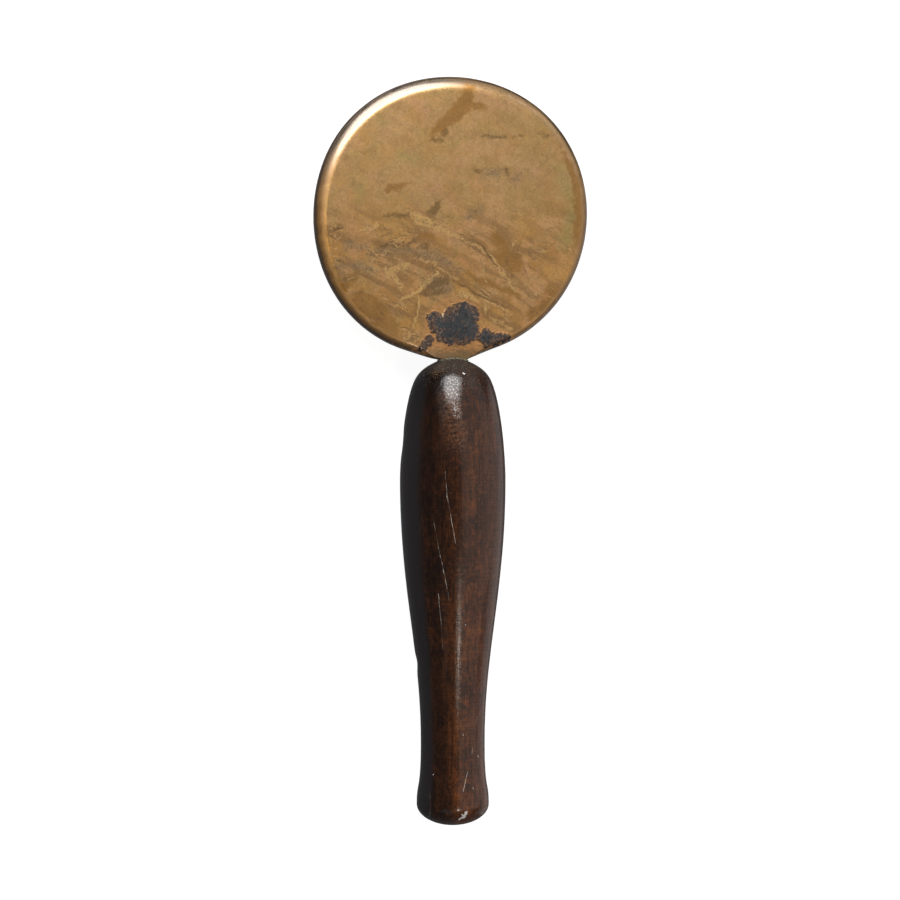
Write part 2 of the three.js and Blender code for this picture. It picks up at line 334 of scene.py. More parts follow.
# %% Strokes of each stain
STROKES = {
    "crust": [
        [(3.9, 15.9, 4.7), (2.8, 11.5, 6.8)],
        [(-6, 12.4, 4.1), (4.5, 10.8, 4.9)],
        [(-1.6, 15.6, 2.4), (1.6, 17.6, 2.4)],
        [(-4, 8.6, 3.5), (6, 8.9, 3.1)],
        [(-1, 6.4, 1.8), (-2.1, 4.9, 0.8)],
        [(-9.2, 14.6, 1.5), (-7.5, 15.6, 1.4)],
        [(8.6, 7.8, 1.6), (12.5, 7.2, 3.3), (14.8, 6.5, 2.5)],
        [(15.5, 7.6, 2), (18.4, 7.4, 1.9), (20.8, 6.8, 0.9)],
        [(-13.4, 2.6, 0.9), (-11.4, 3.9, 1.6), (-9.4, 6.9, 1.5)],
    ],
    "umber": [
        [(5.6, 98, 1.8), (3.6, 92, 3.4), (-1.6, 87, 2.8), (-6, 83, 1.8), (-8.6, 80.8, 0.7)],
        [(4, 92, 2), (11, 91.4, 1)],
        [(-34, 73.5, 0.4), (-29, 74, 0.0)],
        [(-24, 60.5, 1.3), (-17, 63, 0.7)],
        [(15.5, 44, 1.8), (18, 41, 2), (17, 37, 3.2), (22, 35, 3.4)],
        [(-35, 21, 3.2), (-28, 15, 3.6), (-23, 11, 2.4)],
        [(-41, 25, 2), (-37, 29, 1.6)],
        [(37, 24, 2.4), (33, 19, 3), (29, 16, 2)],
        [(41, 76, 0.7), (45.6, 66, 1.3), (47.2, 55, 2.0), (46.2, 42, 1.5)],
        [(5, 30, 1), (13, 27, 1.4), (24, 23, 1)],
        [(-8, 43.5, 1.2), (-13, 44, 1)],
    ],
    "soot": [
        [(-9.5, 78.9, 0.3), (-6, 79.1, 0.7), (-3.6, 78.8, 0.3)],
        [(10, 80.3, 0.2), (15, 80.7, 0.5), (19, 80.6, 0.6)],
        [(21.5, 81, 0.4), (26, 81.5, 0.2)],
        [(31, 82.2, 0.3), (34, 81.8, 0.5), (38, 82.8, 0.3)],
        [(-3.4, 81.8, 1.1), (-4.4, 80.8, 0.6)],
        [(-6.4, 55, 1.5), (-8.4, 52.4, 1.8)],
        [(-26, 50.9, 0.4), (-21, 51.3, 1), (-18, 50.8, 0.6)],
        [(-28, 40.3, 0.4), (-24, 40.5, 0.9), (-19.4, 40, 0.3)],
        [(-17.4, 41, 0.8), (-15.6, 41.6, 1.2)],
        [(-13.6, 39.8, 0.5), (-11, 40.6, 0.9)],
        [(-3, 28.2, 1.3), (-6.4, 27, 1.9), (-9.6, 25, 1.2), (-12.6, 22.8, 0.5)],
        [(-10.6, 23.2, 1), (-4.4, 23.8, 0.9)],
        [(-41, 27.4, 0.7), (-38, 27.6, 0.8)],
        [(-9.2, 101, 0.35), (-9, 99.6, 0.25)],
        [(-45.8, 45.4, 0.5), (-42, 47, 0.4)],
        [(7.6, 68.4, 0.7), (10, 67.4, 0.5)],
        [(19.6, 69, 0.6), (20.4, 66.8, 0.4)],
    ],
    "ash": [
        [(-31, 37.6, 1.2), (-24, 38.6, 1.6), (-14, 38.2, 1.2), (-8, 37.2, 2.4),
         (-3, 34.2, 1.7), (3, 31, 0.8)],
        [(-8, 27, 3.4), (-3.4, 25.6, 2.6)],
        [(-44, 31.6, 0.8), (-36, 33, 1.4), (-30, 31, 0.8)],
        [(-39, 40, 1.2), (-32, 39.4, 1.0)],
        [(4, 51, 1), (10, 54, 1.4)],
        [(12, 67, 1.2), (16.4, 67.4, 1.5)],
        [(22, 65.6, 0.8), (24, 66.4, 0.8)],
    ],
    "verdigris": [
        [(45.2, 57, 1.6), (44.4, 52, 2.6), (42.8, 46, 2.6), (41, 41, 1.4)],
        [(40, 70, 1.6), (43.6, 61, 2.2)],
        [(-25.6, 91, 0.8), (-25, 89, 0.4)],
        [(-28, 85.6, 1), (-25.4, 84.8, 0.7)],
        [(-20, 73, 1.4), (-15, 71.4, 1.8)],
        [(-35.4, 61, 1.2), (-35, 57, 1.2)],
        [(0, 0.4, 1.7), (5, 1, 0.9)],
    ],
    "ochre": [
        [(-17, 52.4, 0.6), (-8, 48.4, 1), (3, 43, 0.7), (10, 40, 0.6), (14, 36.4, 0.6), (22, 26, 0.6)],
        [(-14, 49, 0.9), (-6, 46.2, 0.5)],
        [(-33, 45.6, 0.8), (-29, 47.6, 1)],
        [(2, 23.4, 1), (5.6, 22.2, 1.2), (9, 20.6, 0.5)],
        [(10, 22, 0.4), (14, 20, 0.5), (21, 16.4, 0.3)],
        [(13.6, 15, 0.4), (17, 13, 0.5), (21.4, 10.6, 0.3)],
        [(-14, 35.8, 0.5), (-8, 34, 0.6), (-3, 31, 0.6), (0.6, 28.8, 0.5)],
        [(14, 36, 0.5), (18, 31, 0.5), (22.4, 25, 0.3)],
        [(-20, 26, 1.2), (-25, 31, 1.4), (-18, 33, 1)],
    ],
    "tide": [
        [(-6, 31, 0.4), (-9, 29, 0.4), (-10, 27, 0.5), (-13, 24.5, 0.5),
         (-16, 22.5, 0.45), (-18.4, 21.8, 0.4)],
        [(-17.6, 22, 0.35), (-20, 20, 0.35), (-23, 17, 0.2)],
        [(-13.8, 21.6, 0.3), (-13.4, 18, 0.4), (-14.2, 15, 0.4), (-15, 12, 0.35),
         (-18, 7, 0.4), (-19.2, 5.6, 0.2)],
        [(-5.2, 14.4, 0.35), (-3.2, 17, 0.4), (-0.8, 19.4, 0.3)],
        [(11, 20.4, 0.3), (12, 16, 0.3)],
    ],
    "bare": [
        [(-5, 15, 0.16), (-3.2, 17.6, 0.14), (-1, 19.8, 0)],
        [(24, 94, 0.05), (27, 92.4, 0.12)],
        [(19, 96.4, 0.05), (22, 95.2, 0.12)],
    ],
    "crack": [
        [(-1.4, 28.6, 0.25), (2, 26.6, 0.4), (5.4, 25.3, 0.35), (8, 23, 0.3),
         (11, 22, 0.35), (20, 18, 0.15)],
        [(8.4, 42, 0.2), (12.4, 38, 0.3), (15.6, 33, 0.2)],
        [(-45, 44.6, 0.2), (-41, 46.4, 0.3)],
    ],
    "copper": [
        [(2.4, 35.4, 1.2), (4, 33.6, 1.2)],
        [(-7.6, 18.6, 1.2), (-3.6, 20, 1)],
        [(-10.8, 10, 0.9), (-9.6, 7.6, 1)],
        [(-6, 4.8, 1.3), (2.4, 4.2, 1.9), (7.4, 3.8, 1.4)],
        [(30, 20, 1), (34, 23, 0.8)],
    ],
}
FAR = -9.0


def brushed(places, strokes, seed, wander=0.9):
    """How many millimetres inside the nearest stroke each place lies: the stroke's half width there
    minus the distance from its middle line, or less than zero outside. Hills push the places about
    first."""
    push = np.stack([mottle(places, 3.2, seed, 4), mottle(places, 3.2, seed + 50, 4)], axis=-1)
    pushed = places[:, :2] + wander * push
    inside = np.full(len(places), FAR)
    for stroke in strokes:
        knots = np.array(stroke, float)
        for start, end in zip(knots[:-1], knots[1:]):
            run = end[:2] - start[:2]
            share = np.clip((pushed - start[:2]) @ run / (run @ run), 0, 1)
            away = np.linalg.norm(pushed - start[:2] - share[:, None] * run, axis=1)
            inside = np.maximum(inside, start[2] + share * (end[2] - start[2]) - away)
    return np.where(places[:, 2] > 0, inside, FAR)


plate_places = plate_grid.reshape(-1, 3)
stains = {}
for number, (name, strokes) in enumerate(STROKES.items()):
    stains[name] = brushed(plate_places, strokes, 100 + 7 * number)
print("The crust takes up", f"{np.mean(stains['crust'] > 0):.1%} of the plate's points")

# %% [markdown]
# ## The plate's relief
# A cast and ground plate is never quite flat: it has shallow hills that only a reflection shows.
# The crust stands proud by about a fifth of a millimetre and is broken up, the tide lines are faint
# ridges, the crack is a groove. All of it is moved along the surface's own outward direction. The
# tang, which is fitted, stays plain.

# %% Relief of the plate
FACE_HILLS, CRUST_RISE, CRUST_BREAKS = 0.04, 0.10, 0.12
TIDE_RISE, CRACK_DEPTH, SOOT_DEPTH = 0.05, 0.05, 0.015
RIM_WORN, RIM_UNEVEN = 0.015, 0.02

plate_out = outward(plate_grid, plate_ends).reshape(-1, 3)
slope_angle = np.degrees(np.arccos(np.clip(plate_out[:, 2], -1, 1)))
on_face = 1 - smooth_step(slope_angle, 12, 40)
off_tang = smooth_step(plate_places[:, 1], 0.5, 4)
crust_edge = mottle(plate_places, 1.6, 21, 3)
crust_rise = smooth_step(stains["crust"] + 0.9 * crust_edge, -0.5, 1.5)
relief = FACE_HILLS * mottle(plate_places, 17, 11) * on_face
relief -= (RIM_WORN + RIM_UNEVEN * (1 + mottle(plate_places, 7, 12))) * (1 - on_face)
relief += on_face * crust_rise * (CRUST_RISE + CRUST_BREAKS * mottle(plate_places, 1.5, 22, 4))
relief += TIDE_RISE * smooth_step(stains["tide"], -0.4, 0.3) * on_face
relief -= CRACK_DEPTH * smooth_step(stains["crack"], -0.35, 0.25) * on_face
sooty = stains["soot"] + 0.6 * mottle(plate_places, 1.5, 23, 2)
relief -= SOOT_DEPTH * smooth_step(sooty, -0.5, 0.8) * on_face
plate_worn = plate_places + (relief * off_tang)[:, None] * plate_out
print(f"The relief reaches from {relief.min():.2f} to {relief.max():.2f} mm")

# %% [markdown]
# ## The plate's mesh
# The worn grid becomes the mesh that stands in for the plain plate. The stains go with it as
# attributes, one number a point, and so does the slope of the surface: with them the finish knows
# where each stain lies and where the rim begins.

# %% The plate's mesh
fields = {name: np.append(values, [values[0], FAR]) for name, values in stains.items()}
fields["crust"][:-2] += 0.5 * crust_edge
fields["speckled"] = np.maximum(np.maximum(fields["ash"], fields["ochre"]), fields["crust"] - 2)
fields["slope_angle"] = np.append(slope_angle, [0, 180])
plate = skin("mirror_plate", plate_worn.reshape(plate_grid.shape), plate_ends, fields)
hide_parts("bronze_plate")
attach(plate, "root")
print("The plate: volume and triangles", measured(plate))

# %% [markdown]
# ## The handle's profile
# The handle was turned on a lathe, so one profile says it all: a blunt crown, a full belly for the
# palm, a waist for the fingers and a flared foot that keeps it from slipping out of the hand.

# %% The handle's profile
HANDLE_LENGTH = 170
CROWN_PULL = 4
SHOULDER = {"at": 7, "radius": 13.4, "slope": math.radians(31), "before": 5.3, "after": 8.5}
BELLY = {"at": 44, "radius": 19.3, "before": 7, "after": 41}
WAIST = {"at": 140, "radius": 11.7, "before": 34.5, "after": 18}
FOOT = {"at": 162.3, "radius": 13.2, "before": 8.3}
PROFILE_ROWS = 236


def bezier(start, pull_out, pull_in, end, steps=80):
    """A cubic Bezier curve from start to end, bent towards its two middle points."""
    t = np.linspace(0, 1, steps)[:, None]
    start, pull_out, pull_in, end = (np.array(p, float) for p in (start, pull_out, pull_in, end))
    s = 1 - t
    return s**3 * start + 3 * t * s**2 * pull_out + 3 * t**2 * s * pull_in + t**3 * end


def handle_profile():
    """The profile as (radius, distance down the axis) points: four Bezier curves that share their
    directions where they meet, and a quarter of an ellipse over the foot."""
    rise = np.array([math.sin(SHOULDER["slope"]), math.cos(SHOULDER["slope"])])
    shoulder = np.array([SHOULDER["radius"], SHOULDER["at"]])
    belly, waist, foot = (np.array([p["radius"], p["at"]]) for p in (BELLY, WAIST, FOOT))
    down = np.array([0, 1])
    curves = [
        bezier([0, 0], [CROWN_PULL, 0], shoulder - SHOULDER["before"] * rise, shoulder),
        bezier(shoulder, shoulder + SHOULDER["after"] * rise, belly - BELLY["before"] * down, belly),
        bezier(belly, belly + BELLY["after"] * down, waist - WAIST["before"] * down, waist, 240),
        bezier(waist, waist + WAIST["after"] * down, foot - FOOT["before"] * down, foot),
    ]
    turn = np.linspace(0, math.pi / 2, 80)
    dome_height = HANDLE_LENGTH - FOOT["at"]
    dome = np.stack([foot[0] * np.cos(turn), foot[1] + dome_height * np.sin(turn)], axis=-1)
    return np.vstack([curves[0], *(c[1:] for c in curves[1:]), dome[1:]])


fine_profile = handle_profile()
travelled = np.concatenate([[0], np.cumsum(np.linalg.norm(np.diff(fine_profile, axis=0), axis=1))])
widest = 2 * fine_profile[:, 0].max()
print(f"The profile is {travelled[-1]:.1f} mm long and {widest:.1f} mm across at the belly")

# %% [markdown]
# ## The handle's skin
# The sleeve starts at the bottom of the socket, climbs its walls, turns over the mouth, spreads
# from the socket's flat shape to the crown's round one, and runs down the profile to the foot. The
# socket is the tang's shape with a little room all round.

# %% The handle's skin
HANDLE_COLUMNS = 360
SOCKET_ROWS = 10
MOUTH_ROWS = 6
CROWN_START = 6.9
SOCKET_HALF_THICK = NECK_HALF_THICK + FIT_GAP
SQUARENESS = 8
CROWN_POINTS = 60  # the profile's first points, where its radius keeps growing


def socket_ring(depth, turns):
    """The socket's section at a depth: a superellipse, |x/w|^n + |z/t|^n = 1, nearly a rectangle,
    that narrows with depth as the tang does."""
    share = np.clip(depth / TANG_LENGTH, 0, 1)
    wide = NECK_HALF + (TANG_TIP_HALF - NECK_HALF) * share + FIT_GAP
    s, c = np.sin(turns), np.cos(turns)
    blunt = np.abs(s / wide) ** SQUARENESS + np.abs(c / SOCKET_HALF_THICK) ** SQUARENESS
    reach = blunt ** (-1 / SQUARENESS)
    return np.stack([reach * s, reach * c], axis=-1)


def crown_depth(radius):
    """How far below the crown's top the surface lies at a distance from the axis."""
    return np.interp(radius, *fine_profile[:CROWN_POINTS].T)


def handle_rows():
    """The handle's grid, from the socket's bottom to the foot. Turns count from the polished side
    towards +x."""
    turns = np.linspace(0, 2 * math.pi, HANDLE_COLUMNS, endpoint=False)
    round_ring = np.stack([np.sin(turns), np.cos(turns)], axis=-1)
    rows = []
    for depth in np.linspace(TANG_LENGTH + FIT_GAP, 1.4, SOCKET_ROWS):
        ring = socket_ring(depth, turns)
        rows.append([ring[:, 0], np.full(HANDLE_COLUMNS, -depth), ring[:, 1]])
    mouth = socket_ring(0.5, turns)
    for share in np.linspace(0, 1, MOUTH_ROWS, endpoint=False):
        ring = (1 - share) * mouth + share * CROWN_START * round_ring
        rows.append([ring[:, 0], -crown_depth(np.linalg.norm(ring, axis=1)), ring[:, 1]])
    begin = np.interp(CROWN_START, fine_profile[:CROWN_POINTS, 0], travelled[:CROWN_POINTS])
    stops = np.linspace(begin, travelled[-1], PROFILE_ROWS + 1)[:-1]
    radii, depths = (np.interp(stops, travelled, column) for column in fine_profile.T)
    for radius, depth in zip(radii, depths):
        ring = radius * round_ring
        rows.append([ring[:, 0], np.full(HANDLE_COLUMNS, -depth), ring[:, 1]])
    ends = np.array([[0, -TANG_LENGTH - FIT_GAP, 0], [0, -HANDLE_LENGTH, 0]])
    return np.array(rows).transpose(0, 2, 1), ends


handle_grid, handle_ends = handle_rows()
handle_places = handle_grid.reshape(-1, 3)
handle_out = outward(handle_grid, handle_ends).reshape(-1, 3)
print("The handle's grid has", handle_grid.shape[0], "rows of", handle_grid.shape[1], "points")

# %% [markdown]
# ## Where the handle has worn
# Years in the hand wore the turning a little uneven, and knocks left two flats on its left side and
# small hollows on the crown, near the waist and at the foot. Each is one line in a table, and each
# is cut as a bell-shaped hollow. The socket keeps its shape. The mesh also keeps, as an attribute,
# how far round the handle a point is, so that the finish can paint shade on one side and a lighter
# sheen on the other.

# %% Wear of the handle
SLOW_WEAR, FINE_WEAR, DEEPEST_WEAR = 0.03, 0.012, 0.9
DENTS = [
    # degrees from the polished side, depth down the axis, width, length, depth of the dent
    (-100, 111, 3.2, 2.6, 0.45),
    (-102, 31, 3, 4.5, 0.35),
    (9, 167, 1.6, 1.3, 0.5),
    (6, 5.7, 0.7, 0.6, 0.3),
    (62, 145, 0.9, 2.4, 0.25),
]

outside = np.repeat(np.arange(len(handle_grid)) >= SOCKET_ROWS + MOUTH_ROWS, HANDLE_COLUMNS)
turn_angle = np.arctan2(handle_places[:, 0], handle_places[:, 2])
depth = -handle_places[:, 1]


def dent(at_turn, at_depth, wide, long, deep):
    """A hollow on the handle, a bell curve across and along, so many millimetres deep."""
    turned_by = np.angle(np.exp(1j * (turn_angle - math.radians(at_turn))))
    across_by = np.hypot(handle_places[:, 0], handle_places[:, 2]) * turned_by
    return deep * np.exp(-((across_by / wide) ** 2) - ((depth - at_depth) / long) ** 2)


wear = SLOW_WEAR * (1 + mottle(handle_places, 26, 31, 2))
wear += FINE_WEAR * (1 + mottle(handle_places, 3, 32, 3))
wear += sum(dent(*row) for row in DENTS)
wear = np.clip(wear, 0, DEEPEST_WEAR) * outside
handle_worn = handle_places - wear[:, None] * handle_out
side_angle = np.degrees(turn_angle) + 2 * mottle(handle_places, 10, 41)
handle_fields = {"side_angle": np.append(side_angle, [0, 0])}
handle = skin("turned_handle", handle_worn.reshape(handle_grid.shape), handle_ends, handle_fields)
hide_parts("wooden_handle")
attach(handle, "root")
print("The handle: volume and triangles", measured(handle))

# %% [markdown]
# ## The seal round the neck
# The tang was set in hot resin, and a crumbly pale bead of it is still there where the neck goes
# into the crown. It is a ring with a small round section that swells and thins as it goes.

# %% The seal round the neck
BEAD_COLUMNS, BEAD_ROWS = 10, 150
BEAD_THICK, BEAD_UNEVEN = 0.42, 0.13
bead_turns = np.linspace(0, 2 * math.pi, BEAD_ROWS, endpoint=False)
bead_path = socket_ring(0.0, bead_turns)
bead_reach = np.linalg.norm(bead_path, axis=1)
bead_middle = np.stack([bead_path[:, 0], -crown_depth(bead_reach), bead_path[:, 1]], axis=-1)
bead_radius = BEAD_THICK + BEAD_UNEVEN * mottle(bead_middle, 1.6, 51, 3)
bead_out = bead_path / bead_reach[:, None]
bead_round = np.linspace(0, 2 * math.pi, BEAD_COLUMNS, endpoint=False)
sideways, upward = np.cos(bead_round)[None, :, None], np.sin(bead_round)[None, :, None]
bead_spoke = np.stack([bead_out[:, 0], np.zeros(BEAD_ROWS), bead_out[:, 1]], axis=-1)[:, None, :]
bead_rows = bead_middle[:, None, :] + bead_radius[:, None, None] * (
    sideways * bead_spoke + upward * np.array([0, 1.0, 0])
)
bead = skin("neck_seal", bead_rows, None)
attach(bead, "root")
print("The seal: volume and triangles", measured(bead))

# %% [markdown]
# ## Mixing a finish
# A finish is a web of shader nodes, and most of its nodes come in the same few kinds. The class
# below adds one node a line. Its patterns all use straight millimetres: a Mapping node turns the
# object's own coordinates back into the straight frame, so that a pattern keeps to the piece when
# the piece is moved.

# %% A recipe for a finish


class Recipe:
    """A finish being mixed. An input may be a number, a colour or the output of another node."""

    def __init__(self, name, roughness, metallic=0.0, ior=1.5):
        self.material = bpy.data.materials.new(name)
        self.material.use_nodes = True
        self.tree = self.material.node_tree
        self.shader = self.tree.nodes["Principled BSDF"]
        self.pour(Roughness=roughness, Metallic=metallic, IOR=ior)
        own = self.add("ShaderNodeTexCoord").outputs["Object"]
        zero = -straight_axes @ crown / MM
        self.straight = self.placed(own, location=zero, rotation=(TILT, 0, 0), scale=(1 / MM,) * 3)
        parts = self.add("ShaderNodeSeparateXYZ", {0: self.straight}).outputs
        self.aside, self.height, self.front = parts
        self.colour = None

    def add(self, kind, inputs=None, **settings):
        """Adds one node, sets it up and joins or fills its inputs."""
        node = self.tree.nodes.new(kind)
        for setting, value in settings.items():
            setattr(node, setting, value)
        for socket, value in (inputs or {}).items():
            self.fill(node.inputs[socket], value)
        return node

    def fill(self, socket, value):
        """Joins an output to a socket, or puts a plain value in it."""
        if isinstance(value, bpy.types.NodeSocket):
            self.tree.links.new(value, socket)
        elif np.ndim(value) == 1 and len(socket.default_value) == 4:
            socket.default_value = (*value, 1)
        else:
            socket.default_value = value

    def pour(self, **inputs):
        """Fills inputs of the main shader."""
        for socket, value in inputs.items():
            self.fill(self.shader.inputs[socket.replace("_", " ")], value)

    def placed(self, vector, location=(0, 0, 0), rotation=(0, 0, 0), scale=(1, 1, 1)):
        """A vector scaled, then turned, then moved."""
        inputs = {"Vector": vector, "Location": location, "Rotation": rotation, "Scale": scale}
        return self.add("ShaderNodeMapping", inputs).outputs[0]

    def noise(self, size, detail=3, stretch=(1, 1, 1), turn=0, warp=0.0, channel=0):
        """Cloudy noise from 0 to 1 whose clouds are `size` millimetres wide, stretched and turned
        about z. Channel 1 is three such noises in one vector."""
        turned = self.placed(self.straight, rotation=(0, 0, -math.radians(turn)))
        vector = self.placed(turned, scale=[1 / (size * s) for s in stretch])
        inputs = {"Vector": vector, "Scale": 1, "Detail": detail, "Distortion": warp}
        return self.add("ShaderNodeTexNoise", inputs).outputs[channel]

    def field(self, name):
        """The values kept on the mesh under a name."""
        return self.add("ShaderNodeAttribute", attribute_name=name).outputs["Fac"]

    def calc(self, operation, *values, clamp=False):
        """One step of arithmetic."""
        inputs = dict(enumerate(values))
        return self.add("ShaderNodeMath", inputs, operation=operation, use_clamp=clamp).outputs[0]

    def vector_calc(self, operation, *values):
        """One step of arithmetic on vectors. It gives the whole node."""
        return self.add("ShaderNodeVectorMath", dict(enumerate(values)), operation=operation)

    def between(self, value, low, high, start=0.0, end=1.0):
        """A smooth change from start to end while the value goes from low to high."""
        inputs = dict(enumerate([value, low, high, start, end]))
        return self.add("ShaderNodeMapRange", inputs, interpolation_type="SMOOTHSTEP").outputs[0]

    def mix(self, share, first, second):
        """A colour between two others, by the share of the second."""
        node = self.add("ShaderNodeMix", data_type="RGBA")
        for index, value in ((0, share), (6, first), (7, second)):
            self.fill(node.inputs[index], value)
        return node.outputs[2]

    def tint(self, colour, amount):
        """A colour made brighter or darker by a number."""
        return self.add("ShaderNodeVectorMath", {0: colour, "Scale": amount}, operation="SCALE").outputs[0]

    def lay(self, share, film):
        """Lays a film over the finish's colour so far. The share says how much it covers."""
        self.colour = self.mix(share, self.colour, film)

    def shade(self, amount):
        """Makes the finish's colour so far brighter or darker."""
        self.colour = self.tint(self.colour, amount)

    def times(self, first, second):
        """Two shares multiplied: only where both are high is the result high."""
        return self.calc("MULTIPLY", first, second)

    def clouds(self, size, detail, low, high, start=0.0, end=1.0, **noise):
        """Noise whose values from low to high are spread from start to end."""
        return self.between(self.noise(size, detail, **noise), low, high, start, end)

    def frayed(self, value, size, by, detail=5, **noise):
        """A value pushed up by noise, so that an edge drawn where it reaches some height is ragged."""
        return self.calc("MULTIPLY_ADD", self.noise(size, detail, **noise), by, value)

    def wavering(self, size=2.5, by=0.5):
        """The straight coordinates with a small random push, so that lines drawn through them
        waver."""
        push = self.noise(size, 3, channel=1)
        return self.vector_calc("MULTIPLY_ADD", push, (by, by, 0), self.straight).outputs[0]

    def away_from(self, start, end):
        """How far, in millimetres, a point is from the line between two places, seen from the
        polished side: the length left over when the nearest part of the line is taken away."""
        start, run = np.array([*start, 0.0]), np.array([*np.subtract(end, start), 0.0])
        flat = self.vector_calc("MULTIPLY", self.wavering(), (1, 1, 0)).outputs[0]
        offset = self.vector_calc("SUBTRACT", flat, start).outputs[0]
        along_run = self.vector_calc("DOT_PRODUCT", offset, run / (run @ run)).outputs["Value"]
        nearest = self.tint(tuple(run), self.calc("ADD", along_run, 0, clamp=True))
        return self.vector_calc("DISTANCE", offset, nearest).outputs["Value"]

    def bumps(self, *layers):
        """Fine relief, as (height pattern, millimetres) pairs, in the order in which they are laid."""
        normal = None
        for pattern, height in layers:
            inputs = {"Height": pattern, "Distance": height * MM, "Strength": 1.0}
            if normal is not None:
                inputs["Normal"] = normal
            normal = self.add("ShaderNodeBump", inputs).outputs[0]
        self.pour(Normal=normal)


# %% [markdown]
# ## Old bronze: the bare metal
# Bronze is a metal, so its colour is the colour of its reflection: full Metallic, a warm Base
# Color, and a roughness that spreads the reflection out into a satin glow. Even bare bronze is
# never one yellow: pink, greenish and dull clouds drift over it, and the lower half is browner.
# The upper edge, where the lamp's bright line falls, has a paler metal tone that whitens that line: a
# painted highlight colour. Over the brightest part lies a dark grey tone, painted shade.

# %% Old bronze: the bare metal
YELLOW, TAN = (0.685, 0.39, 0.15), (0.625, 0.367, 0.124)
AMBER, HONEY = (0.72, 0.37, 0.134), (0.70, 0.355, 0.086)
PINK, GREENISH, DULL = (0.74, 0.39, 0.19), (0.54, 0.325, 0.10), (0.38, 0.19, 0.055)
FAWN, TOFFEE, FRECKLE = (0.53, 0.275, 0.078), (0.50, 0.24, 0.05), (0.38, 0.195, 0.055)
PALE_HIGHLIGHT_TONE, DIMMED_HIGHLIGHT_GREY = (0.57, 0.445, 0.34), (0.165, 0.135, 0.105)

bronze = Recipe("old_bronze", roughness=0.3, metallic=1.0)
broad, small, grain = bronze.noise(20, 4), bronze.noise(6, 4, warp=0.6), bronze.noise(0.8, 3)
wiped = bronze.noise(4, 5, stretch=(5, 1, 1), turn=-28, warp=0.5)
lower = bronze.between(bronze.height, 66, 38)
slope = bronze.field("slope_angle")

# the bare metal: yellow, with pink and greenish clouds, and browner below
clean = bronze.mix(bronze.between(broad, 0.42, 0.6), YELLOW, TAN)
clean = bronze.mix(bronze.between(small, 0.42, 0.68, 0, 0.7), clean, FAWN)
tired = bronze.mix(bronze.between(broad, 0.42, 0.6), AMBER, HONEY)
tired = bronze.mix(bronze.between(small, 0.42, 0.66, 0, 0.9), tired, TOFFEE)
bronze.colour = bronze.mix(lower, clean, tired)
bronze.lay(bronze.clouds(9, 4, 0.5, 0.7, 0, 0.5, warp=0.5), PINK)
bronze.lay(bronze.clouds(8, 4, 0.5, 0.66, 0, 0.6, warp=0.5), GREENISH)
bronze.lay(bronze.times(bronze.between(wiped, 0.44, 0.62), bronze.between(lower, 0, 1, 0.2, 0.85)), DULL)
bronze.lay(bronze.clouds(2.2, 5, 0.52, 0.70, 0, 0.32), FRECKLE)

# painted highlight colour: a paler tone on the upper edge where the lamp's line falls; painted shade:
# a dark grey tone over its brightest part keeps the line from burning out
pale_highlight_band = bronze.times(bronze.between(slope, 1, 18), bronze.between(bronze.height, 50, 84))
bronze.lay(bronze.times(pale_highlight_band, bronze.between(bronze.aside, 16, -20, 0.15, 0.95)), PALE_HIGHLIGHT_TONE)
dimmed_highlight_band = bronze.times(bronze.between(slope, 8, 18), bronze.between(slope, 38, 27))
dimmed_highlight_band = bronze.times(dimmed_highlight_band, bronze.between(bronze.height, 66, 82, 0, 0.95))
bronze.lay(bronze.times(dimmed_highlight_band, bronze.between(bronze.aside, 14, -12)), DIMMED_HIGHLIGHT_GREY)
print("The bare metal has", len(bronze.tree.nodes), "nodes")

# %% [markdown]
# ## Old bronze: the films
# The films are thin and only tint the metal. Each is one line in a list: the field kept on the
# mesh, its colour, how strongly it covers, how soft its edge is and how noise frays it. Old water
# levels are the contour lines of a cloudy pattern, as on a map: they wander, but never cross. Last
# come fine dark pits and the hair scratches that wiping left.

# %% Old bronze: the films
FILMS = [
    # field, colour, cover, edge in mm, fray in mm, size of the fray in mm
    ("ash", (0.38, 0.235, 0.105), 0.75, 1.6, 4.5, 2.2),
    ("verdigris", (0.44, 0.33, 0.09), 0.6, 2.6, 5.5, 1.6),
    ("umber", (0.41, 0.186, 0.03), 0.85, 0.9, 2.6, 2.2),
    ("copper", (0.66, 0.31, 0.10), 0.8, 1.0, 3.0, 1.2),
    ("ochre", (0.78, 0.45, 0.15), 0.85, 0.5, 1.8, 1.4),
    ("soot", (0.23, 0.12, 0.028), 0.78, 0.7, 2.2, 1.1),
    ("tide", (0.82, 0.49, 0.17), 0.85, 0.3, 0.9, 1.1),
    ("crack", (0.16, 0.085, 0.028), 0.85, 0.3, 0.9, 0.8),
]
PALE_LINE, PALE_FLECK, PIT = (0.84, 0.50, 0.19), (0.80, 0.50, 0.22), (0.22, 0.115, 0.04)

for field, film, cover, edge, fray, size in FILMS:
    inside = bronze.frayed(bronze.calc("ADD", bronze.field(field), -fray / 2), size, fray)
    bronze.lay(bronze.between(inside, -edge, edge, 0, cover), film)

# old water levels: thin wandering lines, pale with a dark lower edge
level = bronze.noise(8, 6, stretch=(2.2, 1, 1), turn=-24, warp=0.8)
broken = bronze.times(bronze.clouds(5, 3, 0.44, 0.58), lower)
for middle, drawn, cover in ((0.5, PALE_LINE, 0.7), (0.514, PIT, 0.7), (0.58, PIT, 0.6)):
    off_line = bronze.calc("ABSOLUTE", bronze.calc("SUBTRACT", level, middle))
    bronze.lay(bronze.times(bronze.between(off_line, 0.002, 0.012, cover, 0), broken), drawn)

# pepper: fine dark pits, thick in the speckled bands and rare elsewhere
speckled = bronze.between(bronze.field("speckled"), -2.5, 1.0, 0.08, 0.75)
bronze.lay(bronze.times(bronze.clouds(0.62, 2, 0.56, 0.64), speckled), PIT)
flecks = bronze.clouds(0.55, 2, 0.60, 0.68, 0, 0.35, stretch=(1, 1.4, 1))
bronze.lay(bronze.times(flecks, speckled), PALE_FLECK)

